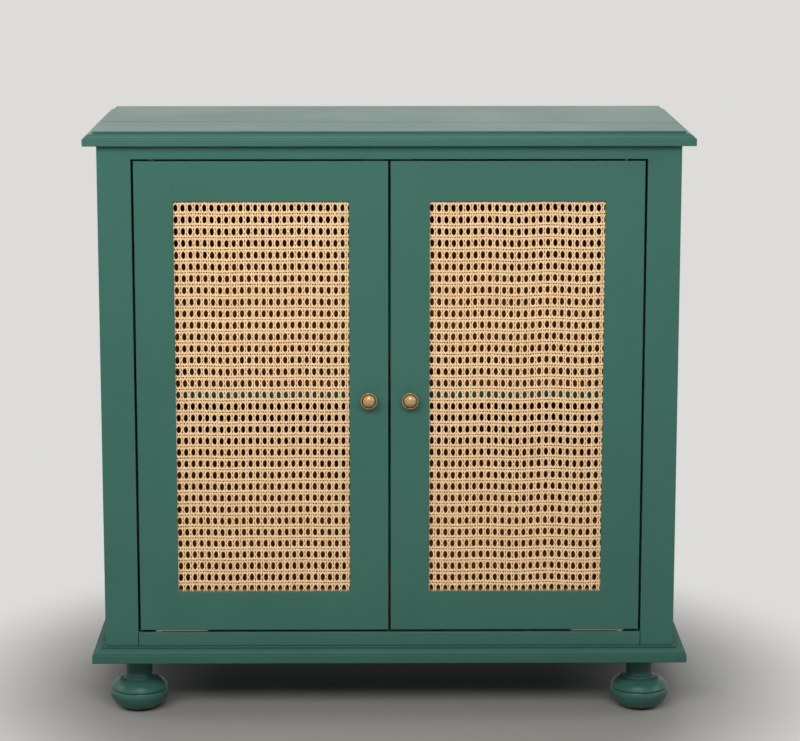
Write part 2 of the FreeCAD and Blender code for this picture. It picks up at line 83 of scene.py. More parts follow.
def noise(tree, place, scale, detail, roughness=0.5):
    inputs = {"Vector": place, "Scale": scale, "Detail": detail, "Roughness": roughness}
    return addNode(tree, "ShaderNodeTexNoise", inputs).outputs["Fac"]


def mixColour(tree, factor, first, second):
    made = addNode(tree, "ShaderNodeMix", {0: factor, 6: first, 7: second}, data_type="RGBA")
    return made.outputs[2]


def mapRange(tree, value, fromLow, fromHigh, toLow=0.0, toHigh=1.0, curve="LINEAR"):
    ends = {"Value": value, "From Min": fromLow, "From Max": fromHigh, "To Min": toLow, "To Max": toHigh}
    return addNode(tree, "ShaderNodeMapRange", ends, interpolation_type=curve).outputs["Result"]


def newGroup(name, inputs, outputs):
    group = bpy.data.node_groups.new(name, "ShaderNodeTree")
    for label, kind, value in inputs:
        socket = group.interface.new_socket(name=label, in_out="INPUT", socket_type=kind)
        if value is not None:
            socket.default_value = value
    for label, kind in outputs:
        group.interface.new_socket(name=label, in_out="OUTPUT", socket_type=kind)
    return group, group.nodes.new("NodeGroupInput").outputs, group.nodes.new("NodeGroupOutput").inputs


def useGroup(tree, group, inputs):
    return addNode(tree, "ShaderNodeGroup", inputs, node_tree=group).outputs


def newMaterial(name):
    made = bpy.data.materials.new(name)
    made.use_nodes = True
    tree = made.node_tree
    return made, tree, tree.nodes["Principled BSDF"]


def placeOf(tree):
    return tree.nodes.new("ShaderNodeTexCoord").outputs["Object"]


def layFinish(tree, shader, colour, roughness, height, normal=None, shine=None):
    # what every finish ends with: its colour, its roughness and the relief of its surface
    bump = addNode(tree, "ShaderNodeBump", {"Height": height, "Distance": 1.0})
    if normal is not None:
        feed(tree, bump.inputs["Normal"], normal)
    feed(tree, shader.inputs["Base Color"], colour)
    feed(tree, shader.inputs["Roughness"], roughness)
    feed(tree, shader.inputs["Normal"], bump.outputs[0])
    if shine is not None:
        shader.inputs["Specular IOR Level"].default_value = shine


# Effects that several finishes share

def makeWoodGrain():
    # long fibres along whichever axis Stretch makes small, bent by a slow drift
    group, given, out = newGroup(
        "woodGrain",
        [("Vector", "NodeSocketVector", None), ("Stretch", "NodeSocketVector", (4.0, 90.0, 90.0)),
         ("Wander", "NodeSocketFloat", 0.35), ("Sharpness", "NodeSocketFloat", 0.5)],
        [("Mask", "NodeSocketFloat"), ("Height", "NodeSocketFloat")],
    )
    drift = addNode(group, "ShaderNodeTexNoise", {"Vector": given["Vector"], "Scale": 3.0, "Detail": 2.0})
    bent = addNode(group, "ShaderNodeVectorMath", {0: drift.outputs["Color"]}, operation="SCALE")
    group.links.new(given["Wander"], bent.inputs["Scale"])
    both = {0: given["Vector"], 1: given["Stretch"]}
    stretched = addNode(group, "ShaderNodeVectorMath", both, operation="MULTIPLY")
    both = {0: stretched.outputs[0], 1: bent.outputs[0]}
    moved = addNode(group, "ShaderNodeVectorMath", both, operation="ADD").outputs[0]
    coarse = times(group, noise(group, moved, 1.0, 5.0, 0.62), 0.7)
    fine = times(group, noise(group, moved, 7.0, 3.0, 0.7), 0.3)
    fibres = plus(group, coarse, fine)
    low = times(group, given["Sharpness"], 0.5)
    mask = mapRange(group, fibres, low, mathNode(group, "SUBTRACT", 1.0, low))
    group.links.new(mask, out["Mask"])
    group.links.new(fibres, out["Height"])
    return group


def makeSurfaceMottle():
    # cloudy unevenness at one size and a finer speck at another
    group, given, out = newGroup(
        "surfaceMottle",
        [("Vector", "NodeSocketVector", None), ("Cloud Scale", "NodeSocketFloat", 6.0),
         ("Speck Scale", "NodeSocketFloat", 700.0)],
        [("Cloud", "NodeSocketFloat"), ("Speck", "NodeSocketFloat")],
    )
    cloud = noise(group, given["Vector"], given["Cloud Scale"], 4.0, 0.55)
    group.links.new(mapRange(group, cloud, 0.3, 0.7), out["Cloud"])
    group.links.new(noise(group, given["Vector"], given["Speck Scale"], 2.0), out["Speck"])
    return group


def makeEdgeWearAndHighlight():
    # rounds the arrises in the shading, and marks the arrises, which the paints lighten partly as paint worn
    # thin and partly as painted highlight
    group, given, out = newGroup(
        "edgeWear",
        [("Vector", "NodeSocketVector", None), ("Radius", "NodeSocketFloat", 0.0012),
         ("Patchiness", "NodeSocketFloat", 0.5)],
        [("Edge", "NodeSocketFloat"), ("Normal", "NodeSocketVector")],
    )
    soft = addNode(group, "ShaderNodeBevel", {"Radius": given["Radius"]}, samples=4).outputs[0]
    surface = addNode(group, "ShaderNodeNewGeometry")
    both = {0: soft, 1: surface.outputs["Normal"]}
    same = addNode(group, "ShaderNodeVectorMath", both, operation="DOT_PRODUCT").outputs["Value"]
    edge = mapRange(group, same, 0.995, 0.80)  # by how far the rounded surface leans away
    patches = noise(group, given["Vector"], 38.0, 3.0)
    broken = mapRange(group, patches, times(group, given["Patchiness"], 0.7), 0.75)
    group.links.new(mathNode(group, "MULTIPLY", edge, broken, True), out["Edge"])
    group.links.new(soft, out["Normal"])
    return group


def makeCornerShadeAndTarnish():
    # marks the narrow corners: the paints lay painted shade there, the metals tarnish
    group, given, out = newGroup(
        "closeCorner",
        [("Reach", "NodeSocketFloat", 0.003), ("Start", "NodeSocketFloat", 0.88),
         ("Full", "NodeSocketFloat", 0.38)],
        [("Corner", "NodeSocketFloat")],
    )
    around = addNode(group, "ShaderNodeAmbientOcclusion", {"Distance": given["Reach"]}, samples=8)
    group.links.new(mapRange(group, around.outputs["AO"], given["Start"], given["Full"]), out["Corner"])
    return group


woodGrain = makeWoodGrain()
surfaceMottle = makeSurfaceMottle()
edgeWear = makeEdgeWearAndHighlight()
closeCorner = makeCornerShadeAndTarnish()

# Bare wood

brownWood = {
    "colour": (0.430, 0.142, 0.030, 1),
    "dark": (0.250, 0.070, 0.012, 1),
    "bead": (0.640, 0.430, 0.230, 1),  # the beads behind the cane are of a paler wood
    "darkBead": (0.460, 0.270, 0.120, 1),
    "grain": {"Wander": 1.8, "Sharpness": 0.7},
    "grainDepth": 0.0003,
    "mottle": {"Cloud Scale": 3.0, "Speck Scale": 400.0},
    "clouded": 0.25,  # share of the dark wood in the clouds
    "roughness": 0.6,
    "grainRoughness": 0.12,
    "shine": 0.12,
    "tape": (0.012, 0.135, 0.100, 1),
    "tapeWidth": 0.024,
    "tapeEdge": 0.0003,
    "innerSkin": (0.0003, 0.0002),  # tape and paint stay on the inner face, and end within this depth
    "cutIn": (0.022, 0.125, 0.096, 1),  # the sides' paint, brushed a little way over onto their neighbours
    "cutInFrom": 0.373,  # from the cabinet's middle
    "cutInWaver": 0.006,
    "cutInEdge": 0.001,
}
brownGrain = {"across": (1.8, 28.0, 28.0), "upright": (28.0, 28.0, 1.8)}


def makeBareGrain():
    # the colour and the fibres of unpainted wood, on the inside boards and behind the shelf's painted edge
    group, given, out = newGroup(
        "bareGrain",
        [("Vector", "NodeSocketVector", None), ("Stretch", "NodeSocketVector", brownGrain["across"]),
         ("Light Wood", "NodeSocketColor", brownWood["colour"]),
         ("Dark Wood", "NodeSocketColor", brownWood["dark"])],
        [("Colour", "NodeSocketColor"), ("Mask", "NodeSocketFloat"), ("Height", "NodeSocketFloat")],
    )
    place, dark = given["Vector"], given["Dark Wood"]
    grain = useGroup(group, woodGrain, {"Vector": place, "Stretch": given["Stretch"], **brownWood["grain"]})
    mottle = useGroup(group, surfaceMottle, {"Vector": place, **brownWood["mottle"]})
    colour = mixColour(group, grain["Mask"], given["Light Wood"], dark)
    colour = mixColour(group, times(group, mottle["Cloud"], brownWood["clouded"]), colour, dark)
    group.links.new(colour, out["Colour"])
    group.links.new(grain["Mask"], out["Mask"])
    group.links.new(grain["Height"], out["Height"])
    return group


def makeSideBand():
    # a brushed band along both sides of an inside board, with a wavering edge
    group, given, out = newGroup(
        "sideBand",
        [("Vector", "NodeSocketVector", None), ("From", "NodeSocketFloat", brownWood["cutInFrom"])],
        [("Band", "NodeSocketFloat"), ("Side", "NodeSocketFloat")],
    )
    side = mathNode(group, "ABSOLUTE", partsOf(group, given["Vector"])["X"])
    waver = times(group, noise(group, given["Vector"], 14.0, 2.0), brownWood["cutInWaver"])
    start = plus(group, given["From"], brownWood["cutInWaver"] / 2)
    end = plus(group, start, brownWood["cutInEdge"])
    group.links.new(mapRange(group, plus(group, side, waver), start, end), out["Band"])
    group.links.new(side, out["Side"])
    return group


bareGrain = makeBareGrain()
sideBand = makeSideBand()


def makeBrownWood(name, along, folded=False, light="colour", dark="dark"):
    made, tree, shader = newMaterial(name)
    place = placeOf(tree)
    shades = {"Light Wood": brownWood[light], "Dark Wood": brownWood[dark]}
    grain = useGroup(tree, bareGrain, {"Vector": place, "Stretch": brownGrain[along], **shades})
    colour = grain["Colour"]
    band = useGroup(tree, sideBand, {"Vector": place})
    painted = band["Band"]
    if folded:
        # the board came folded in two, with a tape over the fold on its inner face
        half = brownWood["tapeWidth"] / 2
        depth = [foldFace + skin for skin in brownWood["innerSkin"]]
        inner = mapRange(tree, partsOf(tree, place)["Y"], *depth)
        tape = times(tree, mapRange(tree, band["Side"], half, half - brownWood["tapeEdge"]), inner)
        colour = mixColour(tree, tape, colour, brownWood["tape"])
        painted = times(tree, painted, inner)
    colour = mixColour(tree, painted, colour, brownWood["cutIn"])
    roughness = plus(tree, brownWood["roughness"], times(tree, grain["Mask"], brownWood["grainRoughness"]))
    height = times(tree, grain["Height"], brownWood["grainDepth"])
    layFinish(tree, shader, colour, roughness, height, shine=brownWood["shine"])
    return made


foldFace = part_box("back_panel")[0].y
plywood = makeBrownWood("brownPlywood", "upright", folded=True)
brownAcross = makeBrownWood("brownWoodAcross", "across")
beadWood = makeBrownWood("paleBeadWood", "upright", light="bead", dark="darkBead")

# Painted wood

paint = {
    "colour": (0.047, 0.148, 0.118, 1),
    "shade": (0.038, 0.122, 0.097, 1),
    "deep": (0.031, 0.101, 0.081, 1),  # painted shade: the base and the feet, near the floor, are laid a little darker
    # the lighter colour of the arrises: paint worn thin there, and painted highlight
    "thin": (0.100, 0.215, 0.182, 1),
    # the painted shade laid into the narrow corners
    "hollow": (0.010, 0.044, 0.034, 1),
    "clouded": 0.55,  # shares of the second shade, in the clouds and in the grain
    "grained": 0.16,
    "filled": 0.9,  # share of the painted shade in the narrow corners
    "corner": {"Reach": 0.0035, "Start": 0.85, "Full": 0.40},
    "edge": {"Radius": 0.0008, "Patchiness": 0.45},
    "grain": {"Wander": 0.9, "Sharpness": 0.6},
    "mottle": {"Cloud Scale": 5.0, "Speck Scale": 620.0},
    "roughness": 0.36,
    "cloudRoughness": 0.07,
    "grainRoughness": 0.05,
    "bareRoughness": 0.2,
    "shine": 0.26,
    "grainDepth": 0.00012,
    "peelDepth": 0.00002,
    "jointPlace": -0.056,  # where the wide boards were glued up, across the middle of the cabinet
    "jointSlant": -0.035,
    "jointWidth": 0.008,
    "jointDepth": 0.00025,
    "jointRoughness": 0.14,
    "shelfEdge": (-0.1334, -0.1328),  # the shelf's paint ends between these, just behind its front
}
grainAlong = {"across": (5.0, 95.0, 95.0), "upright": (95.0, 95.0, 5.0)}


def makePaint(name, along, jointed=False, bare=None, dull=0.0, wornAndLit=0.3, low=False):
    made, tree, shader = newMaterial(name)
    place = placeOf(tree)
    grain = useGroup(tree, woodGrain, {"Vector": place, "Stretch": grainAlong[along], **paint["grain"]})
    mottle = useGroup(tree, surfaceMottle, {"Vector": place, **paint["mottle"]})
    wearAndHighlight = useGroup(tree, edgeWear, {"Vector": place, **paint["edge"]})
    corner = useGroup(tree, closeCorner, paint["corner"])
    # low lays the base and the feet darker, as painted shade near the floor
    first, second = (paint["shade"], paint["deep"]) if low else (paint["colour"], paint["shade"])
    colour = mixColour(tree, times(tree, mottle["Cloud"], paint["clouded"]), first, second)
    colour = mixColour(tree, times(tree, grain["Mask"], paint["grained"]), colour, second)
    # lighter arrises: partly paint worn thin, partly painted highlight
    colour = mixColour(tree, times(tree, wearAndHighlight["Edge"], wornAndLit), colour, paint["thin"])
    # painted shade in the narrow corners
    colour = mixColour(tree, times(tree, corner["Corner"], paint["filled"]), colour, paint["hollow"])
    height = times(tree, grain["Height"], paint["grainDepth"])
    height = plus(tree, height, times(tree, mottle["Speck"], paint["peelDepth"]))
    roughness = plus(tree, paint["roughness"] + dull, times(tree, mottle["Cloud"], paint["cloudRoughness"]))
    roughness = plus(tree, roughness, times(tree, grain["Mask"], paint["grainRoughness"]))
    if jointed:
        # the paint dips and dulls a little along the glued joint
        parts = partsOf(tree, place)
        joint = plus(tree, paint["jointPlace"], times(tree, parts["X"], paint["jointSlant"]))
        distance = mathNode(tree, "ABSOLUTE", mathNode(tree, "SUBTRACT", parts["Y"], joint))
        line = mapRange(tree, distance, paint["jointWidth"], 0.0)
        height = mathNode(tree, "SUBTRACT", height, times(tree, line, paint["jointDepth"]))
        roughness = plus(tree, roughness, times(tree, line, paint["jointRoughness"]))
    if bare is not None:
        unpainted = bare(tree, place)
        wood = useGroup(tree, bareGrain, {"Vector": place, "Stretch": brownGrain[along]})
        colour = mixColour(tree, unpainted, colour, wood["Colour"])
        roughness = plus(tree, roughness, times(tree, unpainted, paint["bareRoughness"]))
    layFinish(tree, shader, colour, roughness, height, wearAndHighlight["Normal"], paint["shine"])
    return made


def behindShelfEdge(tree, place):
    # the shelf is painted along its front edge, and brushed over at its ends
    behind = mapRange(tree, partsOf(tree, place)["Y"], *paint["shelfEdge"])
    band = useGroup(tree, sideBand, {"Vector": place})["Band"]
    return times(tree, behind, mathNode(tree, "SUBTRACT", 1.0, band))


paintAcross = makePaint("paintedWoodAcross", "across")
paintUpright = makePaint("paintedWoodUpright", "upright")
# the top board's moulding gets stronger painted highlight on its arrises
paintBoard = makePaint("paintedWoodBoard", "across", jointed=True, wornAndLit=0.8)
# the base gets stronger painted highlight on its arrises, and is laid darker as painted shade near the floor,
# as are the feet
paintBase = makePaint("paintedBase", "across", dull=0.30, wornAndLit=0.8, low=True)
paintFoot = makePaint("paintedFoot", "upright", dull=-0.06, low=True)
paintShelf = makePaint("paintedShelf", "across", bare=behindShelfEdge)

# Metals

metals = {
    "antiqueBrass": {
        "colour": (0.52, 0.340, 0.165, 1), "tarnish": (0.10, 0.060, 0.02, 1), "metallic": 0.45,
        "roughness": 0.33, "tarnished": 0.95, "reach": 0.0034,
    },
    "nickelledSteel": {
        "colour": (0.30, 0.33, 0.295, 1), "tarnish": (0.13, 0.14, 0.13, 1), "metallic": 0.6,
        "roughness": 0.48, "tarnished": 0.4, "reach": 0.002,
    },
    "zincSteel": {
        "colour": (0.52, 0.53, 0.54, 1), "tarnish": (0.16, 0.16, 0.165, 1), "metallic": 0.8,
        "roughness": 0.38, "tarnished": 0.5, "reach": 0.0015,
    },
}
metalSurface = {
    "mottle": {"Cloud Scale": 180.0, "Speck Scale": 2600.0},
    "corner": {"Start": 0.88, "Full": 0.48},
    "clouded": 0.12,  # share of the tarnish in the clouds
    "dirtRoughness": 0.3,
    "speckDepth": 0.000012,
    "rimFrom": 0.94,  # where the painted shade at the edge of the knob's ring begins, as a share of its radius
    "rimDark": 0.85,
}


def knobRimShade(tree, place):
    # painted shade at the outer edge of the knobs' ring
    low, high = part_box("left_door_knob")
    radius = (high.z - low.z) / 2
    parts = partsOf(tree, place)
    sideways = mathNode(tree, "SUBTRACT", mathNode(tree, "ABSOLUTE", parts["X"]), abs(low.x + high.x) / 2)
    upward = mathNode(tree, "SUBTRACT", parts["Z"], (low.z + high.z) / 2)
    spot = addNode(tree, "ShaderNodeCombineXYZ", {"X": sideways, "Y": upward})
    away = addNode(tree, "ShaderNodeVectorMath", {0: spot.outputs[0]}, operation="LENGTH").outputs["Value"]
    return mapRange(tree, away, radius * metalSurface["rimFrom"], radius, 0.0, metalSurface["rimDark"])


def makeMetal(name, shadeMask=None):
    look = metals[name]
    made, tree, shader = newMaterial(name)
    place = placeOf(tree)
    mottle = useGroup(tree, surfaceMottle, {"Vector": place, **metalSurface["mottle"]})
    hollow = useGroup(tree, closeCorner, {"Reach": look["reach"], **metalSurface["corner"]})
    tarnishAndShade = times(tree, hollow["Corner"], look["tarnished"])
    if shadeMask is not None:
        # on the knobs, painted shade along the outer edge of the ring, added to the tarnish
        tarnishAndShade = mathNode(tree, "MAXIMUM", tarnishAndShade, shadeMask(tree, place))
    tarnishAndShade = mathNode(tree, "ADD", tarnishAndShade, times(tree, mottle["Cloud"], metalSurface["clouded"]), True)
    colour = mixColour(tree, tarnishAndShade, look["colour"], look["tarnish"])
    roughness = plus(tree, look["roughness"], times(tree, tarnishAndShade, metalSurface["dirtRoughness"]))
    layFinish(tree, shader, colour, roughness, times(tree, mottle["Speck"], metalSurface["speckDepth"]))
    shader.inputs["Metallic"].default_value = look["metallic"]
    return made


brass = makeMetal("antiqueBrass", shadeMask=knobRimShade)
nickelled = makeMetal("nickelledSteel")
zinc = makeMetal("zincSteel")

# Small dark parts

darkParts = {
    "catchPlastic": {
        "colour": (0.042, 0.026, 0.015, 1), "other": (0.055, 0.035, 0.021, 1),
        "roughness": 0.5, "depth": 0.00003, "speck": 1500.0,
    },
    "ferrite": {
        "colour": (0.022, 0.022, 0.024, 1), "other": (0.038, 0.037, 0.036, 1),
        "roughness": 0.7, "depth": 0.00005, "speck": 2200.0,
    },
    "darkFelt": {
        "colour": (0.012, 0.013, 0.012, 1), "other": (0.030, 0.031, 0.028, 1),
        "roughness": 0.95, "depth": 0.0004, "speck": 900.0,
    },
}
darkCloud = {"size": 90.0, "roughness": 0.05}


def makeDarkPart(name):
    look = darkParts[name]
    made, tree, shader = newMaterial(name)
    sizes = {"Cloud Scale": darkCloud["size"], "Speck Scale": look["speck"]}
    mottle = useGroup(tree, surfaceMottle, {"Vector": placeOf(tree), **sizes})
    colour = mixColour(tree, mottle["Speck"], look["colour"], look["other"])
    roughness = plus(tree, look["roughness"], times(tree, mottle["Cloud"], darkCloud["roughness"]))
    layFinish(tree, shader, colour, roughness, times(tree, mottle["Speck"], look["depth"]))
    return made


catchPlastic = makeDarkPart("catchPlastic")
ferrite = makeDarkPart("ferrite")
felt = makeDarkPart("darkFelt")

# Finish of each node

uprightNames = ("stile", "side_panel")
insideNames = ("floor_panel", "front_stretcher", "rear_stretcher")


def finishOf(name):
    if name == "top_board":
        return paintBoard
    if name == "base_board":
        return paintBase
    if name.endswith("_foot"):
        return paintFoot
    if name == "back_panel":
        return plywood
    if name in insideNames:
        return brownAcross
    if name.endswith("cane_beads"):
        return beadWood
    if name == "record_shelf":
        return paintShelf
    if name.endswith("_knob"):
        return brass
    if "upper_leaf" in name:
        return paintAcross  # painted over with the door
    if "pivot" in name or "leaf" in name:
        return nickelled
    if "screw" in name or "bolt" in name or "pins" in name or "strike" in name:
        return zinc
    if name == "catch_housing":
        return catchPlastic
    if name == "catch_magnets":
        return ferrite
    if name == "foot_glides":
        return felt
    if any(word in name for word in uprightNames):
        return paintUpright
    return paintAcross


for name, node in nodes.items():
    node.data.materials.clear()
    node.data.materials.append(finishOf(name))
print("finishes laid on")

# Pieces modelled here, in place of the plain ones

def putIn(name, mesh, material):
    mesh.materials.append(material)
    made = bpy.data.objects.new(name, mesh)
    bpy.context.scene.collection.objects.link(made)
    return made


def newPiece(name, points, faces, material, body, slot, *stands):
    mesh = bpy.data.meshes.new(name)
    mesh.from_pydata(points, [], faces)
    piece = putIn(name, mesh, material)
    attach(piece, body)
    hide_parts(*stands)
    return piece


# Screws with a cross recess

screwLook = {
    "arm": 0.56,  # half length and half width of the recess, as shares of the head's radius
    "armWidth": 0.15,
    "recessDepth": 0.0012,
    "recessShare": 0.6,  # of the head's depth, at most
    "recessTaper": 0.72,
    "chamfer": 0.00018,
    "panDepth": 0.0024,
    "panEdge": [(0.80, 0.0), (0.95, 0.0004), (1.0, 0.0011)],  # share of the radius, and how far down
    "pointLength": 0.003,
    "pointEnd": 0.25,  # share of the shank
}


def separateSolids(mesh):
    # the solids of one node, each as an array of its points: faces that share a corner belong together
    points = np.array([vertex.co for vertex in mesh.vertices])
    keys = [tuple(row) for row in np.round(points, 6)]
    owner = {key: key for key in keys}

    def root(key):
        while owner[key] != key:
            owner[key] = owner[owner[key]]
            key = owner[key]
        return key

    for face in mesh.polygons:
        first = root(keys[face.vertices[0]])
        for corner in face.vertices[1:]:
            owner[root(keys[corner])] = first
    solids = {}
    for key in owner:
        solids.setdefault(root(key), []).append(key)
    return [np.array(solid) for solid in solids.values()]


def screwShape(solid, panHead):
    # measures one plain screw, and gives the points and faces of a modelled one in its place
    low, high = solid.min(axis=0), solid.max(axis=0)
    along = int(np.argmax(high - low))
    middle = (low + high) / 2
    others = [axis for axis in range(3) if axis != along]
    reach = np.hypot(solid[:, others[0]] - middle[others[0]], solid[:, others[1]] - middle[others[1]])
    radius = reach.max()
    headAt = solid[reach > radius * 0.98, along].mean()  # the widest points are the head's
    inward = 1 if headAt - low[along] < high[along] - headAt else -1
    start = low[along] if inward == 1 else high[along]
    length = high[along] - low[along]
    farPart = np.abs(solid[:, along] - start) > length * 0.7
    shank = reach[farPart].max()
    chamfer = screwLook["chamfer"]
    if panHead:
        depth = screwLook["panDepth"]
        rings = [(radius * share, down) for share, down in screwLook["panEdge"]]
        rings += [(radius, depth), (shank, depth)]
    else:
        depth = radius - shank
        rings = [(radius - chamfer, 0.0), (radius, chamfer), (shank, depth)]
    rings += [(shank, length - screwLook["pointLength"]), (shank * screwLook["pointEnd"], length)]
    arm, width = screwLook["arm"] * radius, screwLook["armWidth"] * radius
    quarter = [(arm, -width), (arm, width), (width, width)]
    cross = []
    for cos, sin in ((1, 0), (0, 1), (-1, 0), (0, -1)):
        cross += [(x * cos - y * sin, x * sin + y * cos) for x, y in quarter]
    corners = len(cross)
    # every ring has a point beside each corner of the cross, and one between each two
    angles = [math.atan2(y, x) for x, y in cross]
    rim = []
    for number, angle in enumerate(angles):
        after = angles[(number + 1) % corners]
        rim += [angle, angle + ((after - angle) % (2 * math.pi)) / 2]
    flat = [(r * math.cos(a), r * math.sin(a), d) for r, d in rings for a in rim]
    flat += [(x, y, 0.0) for x, y in cross]
    taper = screwLook["recessTaper"]
    recess = min(screwLook["recessDepth"], depth * screwLook["recessShare"])
    flat += [(x * taper, y * taper, recess) for x, y in cross]
    count = len(rim)
    faces = []
    for ring in range(0, (len(rings) - 1) * count, count):
        for k in range(count):
            after = (k + 1) % count
            faces.append((ring + k, ring + after, ring + count + after, ring + count + k))
    last = (len(rings) - 1) * count
    faces.append(tuple(last + k for k in range(count)))
    top = len(rings) * count
    floor = top + corners
    for k in range(corners):
        after = (k + 1) % corners
        faces.append((top + k, top + after, (2 * k + 2) % count, 2 * k + 1, 2 * k))
        faces.append((top + after, top + k, floor + k, floor + after))
    faces.append(tuple(floor + k for k in reversed(range(corners))))
    points = np.zeros((len(flat), 3))
    points[:, others[0]] = [p[0] + middle[others[0]] for p in flat]
    points[:, others[1]] = [p[1] + middle[others[1]] for p in flat]
    points[:, along] = [start + inward * p[2] for p in flat]
    # the order of the two cross axes decides which way the faces look
    if (inward == 1) == (along == 1):
        faces = [tuple(reversed(face)) for face in faces]
    return points, faces


def makeScrews(name, body, material, slot):
    allPoints, allFaces = [], []
    for solid in separateSolids(nodes[name].data):
        points, faces = screwShape(solid, name.endswith("knob_screw"))
        start = len(allPoints)
        allPoints += [tuple(point) for point in points]
        allFaces += [tuple(start + corner for corner in face) for face in faces]
    first, *others = name.split("_")
    joined = first + "".join(word.capitalize() for word in others)
    newPiece(joined, allPoints, allFaces, material, body, slot, name)


for name in ("back_panel_screws", "base_board_screws", "top_board_screws", "catch_screws"):
    makeScrews(name, "cabinet", zinc, "steel")
makeScrews("pivot_screws", "cabinet", nickelled, "hinge_steel")
for side in ("left", "right"):
    makeScrews(side + "_door_leaf_screws", side + "_door", nickelled, "hinge_steel")
    makeScrews(side + "_door_knob_screw", side + "_door", zinc, "steel")
    makeScrews(side + "_door_strike_screw", side + "_door", zinc, "steel")
print("screws made")

# Felt under the feet

feltGlide = {
    "radius": 0.018,
    "lumps": 0.00022,
    "rounding": 0.00028,
    "around": 72,
    # from the middle of the sole to the top: share of the radius, share of the thickness
    "profile": [(0.35, 0.0), (0.7, 0.0), (0.93, 0.0), (1.0, 0.3), (1.0, 0.6), (0.97, 0.93), (0.8, 1.0)],
    "seed": 5,
}


def makeFelt():
    low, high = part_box("foot_glides")
    thick = high.z - low.z
    chance = np.random.default_rng(feltGlide["seed"])
    points, faces = [], []
    radius, around, profile = feltGlide["radius"], feltGlide["around"], feltGlide["profile"]
    for x in (low.x + radius, high.x - radius):
        for y in (low.y + radius, high.y - radius):
            start = len(points)
            points.append((x, y, low.z))
            for share, rise in profile:
                for k in range(around):
                    angle = 2 * math.pi * k / around
                    lump = feltGlide["lumps"] * chance.uniform(0, 1)
                    rounded = feltGlide["rounding"] if rise == 0.0 and share > 0.9 else 0
                    r = radius * share - lump - rounded
                    z = low.z + thick * rise + (lump / 2 if rise == 0.0 else -lump / 2)
                    points.append((x + r * math.cos(angle), y + r * math.sin(angle), max(z, low.z)))
            last = start + 1 + (len(profile) - 1) * around
            for k in range(around):
                after = (k + 1) % around
                faces.append((start, start + 1 + after, start + 1 + k))
                for ring in range(start + 1, last, around):
                    faces.append((ring + k, ring + after, ring + around + after, ring + around + k))
            faces.append(tuple(last + k for k in range(around)))
    piece = newPiece("feltGlides", points, faces, felt, "cabinet", "felt", "foot_glides")
    for face in piece.data.polygons:
        face.use_smooth = True


makeFelt()
print("felt laid under the feet")

# Woven cane

caneWeave = {
    "rebate": 0.0075,  # how far the frame covers the panel
    "holesAcross": 24.2,
    "holesHigh": 33.78,
    "firstHole": 0.0034,  # from the left edge of the opening
    "firstRow": 0.0100,  # from its top
    # apart is half the distance between the two strands of a pair, and bends are the places where another
    # strand bends as it crosses the pair, as multiples of it
    "upright": {
        "width": 0.00190, "vary": (0.90, 1.08), "swell": 0.04, "swellTurns": 160,
        "apart": 0.00145, "bends": (-2.3, -1, 0, 1, 2.3),
    },
    "level": {
        "width": 0.0029, "vary": (0.90, 1.08), "swell": 0.05, "swellTurns": 210,
        "apart": 0.0022, "bends": (-3.6, -2.1, -1, 0, 1, 2.1, 3.6),
    },
    "slant": {"width": 0.00156, "vary": (0.90, 1.10), "bends": 8},  # bends to a row of holes
    "fewestBends": 4,  # a shorter strand at a corner is left out
    "thickness": 0.00052,
    "lift": 0.00043,
    "slantLift": 0.00070,
    "wander": 0.0007,
    "stray": 0.00010,
    "slantStray": 0.00012,
    "margin": 0.0012,  # inside the panel's own edge
    "pressed": (0.004, 0.010),  # from the panel's edge: pressed flat by the beads, and free of them
    "pressedLift": 0.35,
    "seed": 23,
}
caneColour = {
    "pale": (0.95, 0.745, 0.460, 1),
    "warm": (0.93, 0.590, 0.300, 1),
    "pink": (0.95, 0.640, 0.410, 1),
    "streak": (0.68, 0.390, 0.165, 1),
    "roughness": 0.54,
    "fibreRoughness": 0.12,
    "shine": 0.28,
    "fibreDepth": 0.00006,
    # for noise values from the first number to the second, the share rises to the third
    "pinkShare": (0.55, 1.0, 0.8),
    "blotchShare": (0.5, 0.75, 0.55),
    "streakShare": (0.52, 0.8, 0.55),
    "fibreStretch": (14.0, 9.0),
    "blotchStretch": 30.0,
}


def makeCane():
    made, tree, shader = newMaterial("wovenCane")
    # along the strand in U, and one whole number of V for each strand
    strip = tree.nodes.new("ShaderNodeUVMap")
    strip.uv_map = "strand"
    parts = partsOf(tree, strip.outputs[0])
    along, across = parts["X"], parts["Y"]
    number = mathNode(tree, "FLOOR", across)
    shade = addNode(tree, "ShaderNodeTexWhiteNoise", {"W": number}, noise_dimensions="1D")
    blush = addNode(tree, "ShaderNodeTexWhiteNoise", {"W": plus(tree, number, 0.5)}, noise_dimensions="1D")
    stretchX, stretchY = caneColour["fibreStretch"]
    strand = {"X": times(tree, along, stretchX), "Y": times(tree, across, stretchY)}
    fibre = noise(tree, addNode(tree, "ShaderNodeCombineXYZ", strand).outputs[0], 1.0, 4.0, 0.65)
    strand = {"X": times(tree, along, caneColour["blotchStretch"]), "Y": number}
    blotch = noise(tree, addNode(tree, "ShaderNodeCombineXYZ", strand).outputs[0], 1.0, 2.0)
    colour = mixColour(tree, shade.outputs["Value"], caneColour["pale"], caneColour["warm"])
    for value, share, other in ((blush.outputs["Value"], "pinkShare", "pink"), (blotch, "blotchShare", "warm"),
                                (fibre, "streakShare", "streak")):
        low, high, most = caneColour[share]
        colour = mixColour(tree, mapRange(tree, value, low, high, 0.0, most), colour, caneColour[other])
    roughness = plus(tree, caneColour["roughness"], times(tree, fibre, caneColour["fibreRoughness"]))
    height = times(tree, fibre, caneColour["fibreDepth"])
    layFinish(tree, shader, colour, roughness, height, shine=caneColour["shine"])
    return made


cane = makeCane()


